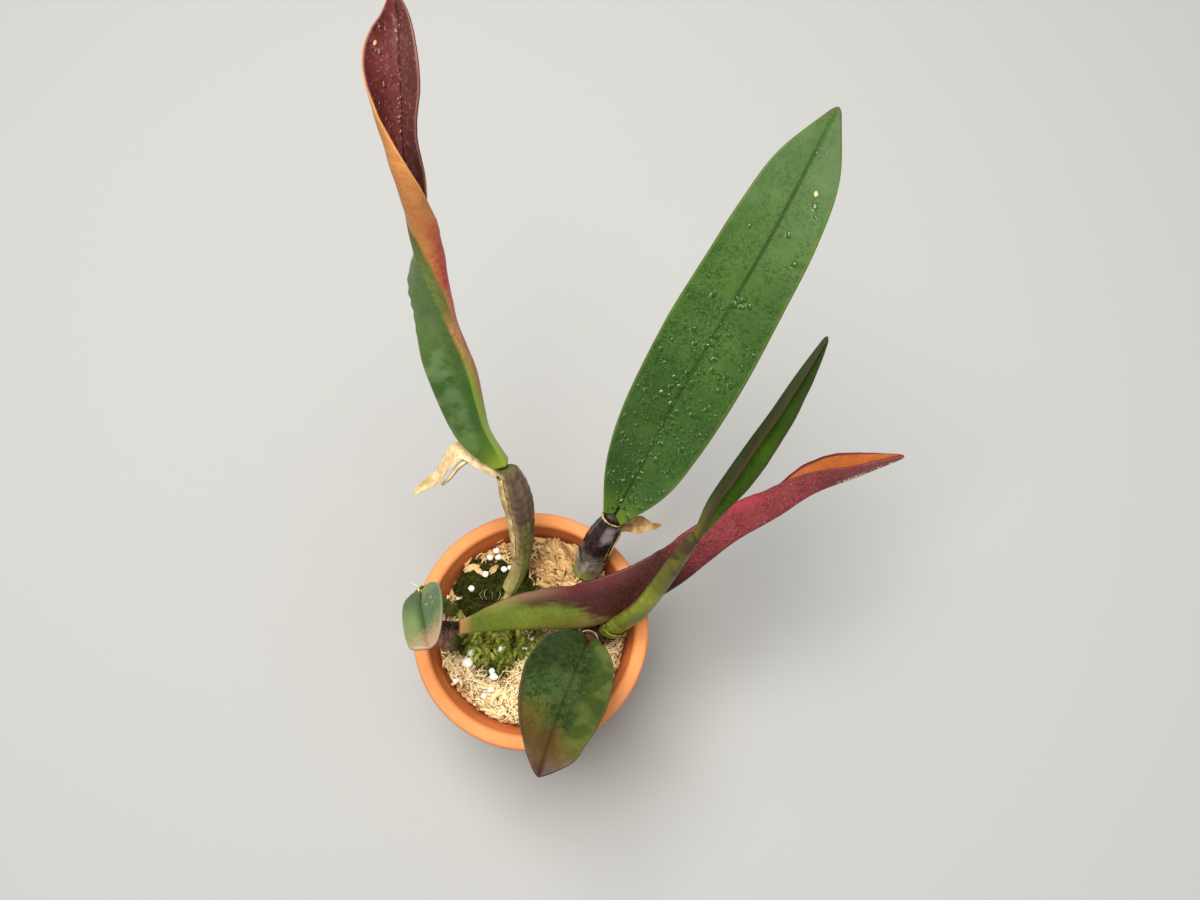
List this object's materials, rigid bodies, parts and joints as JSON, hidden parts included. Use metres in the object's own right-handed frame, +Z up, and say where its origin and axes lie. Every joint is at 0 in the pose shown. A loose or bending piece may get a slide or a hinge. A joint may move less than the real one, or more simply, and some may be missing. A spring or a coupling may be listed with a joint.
{
  "type": "potted cattleya orchid",
  "caption": "Potted orchid with thick strap-shaped leaves on pseudobulbs, creeping from a mossy rhizome in a small round terracotta pot.",
  "frame": {"origin": "middle of the whole plant's bounding box in plan, on the table at the pot's foot", "axes": "+Z up along the pot's axis, +X and +Y level, with the tall leaves leaning towards +Y"},
  "size_m": [0.2042, 0.2432, 0.2732],
  "materials": {
    "clay": "matt terracotta",
    "dry_moss": "dry fibrous",
    "living_moss": "wet",
    "rhizome": "satin",
    "bulb_brown": "satin",
    "bulb_purple": "glossy",
    "bulb_green": "satin",
    "shoot": "satin",
    "leaf_green": "waxy with water drops",
    "leaf_red": "waxy with water drops",
    "papery_sheath": "dry",
    "green_bract": "satin",
    "purple_scale": "satin"
  },
  "bodies": {
    "root": {"pot": "clay", "medium": "dry_moss", "moss_back": "living_moss", "moss_front": "living_moss", "rhizome": "rhizome", "pseudobulb_1": "bulb_brown", "pseudobulb_2": "bulb_purple", "pseudobulb_4": "bulb_purple", "pseudobulb_5": "bulb_green", "pseudobulb_6": "bulb_green", "shoot_3": "shoot", "leaf_1": "leaf_red", "leaf_2": "leaf_green", "leaf_3": "leaf_green", "leaf_4": "leaf_red", "leaf_5": "leaf_green", "leaf_6": "leaf_green", "sheath_1_ribbon": "papery_sheath", "sheath_2_flag": "papery_sheath", "sheath_1_strip": "papery_sheath", "sheath_2_base": "green_bract", "sheath_2_ring": "papery_sheath", "sheath_2_strip": "papery_sheath", "scale_3": "purple_scale", "bract_3": "green_bract", "sheath_5": "papery_sheath", "sheath_6": "papery_sheath"}
  },
  "joints": []
}
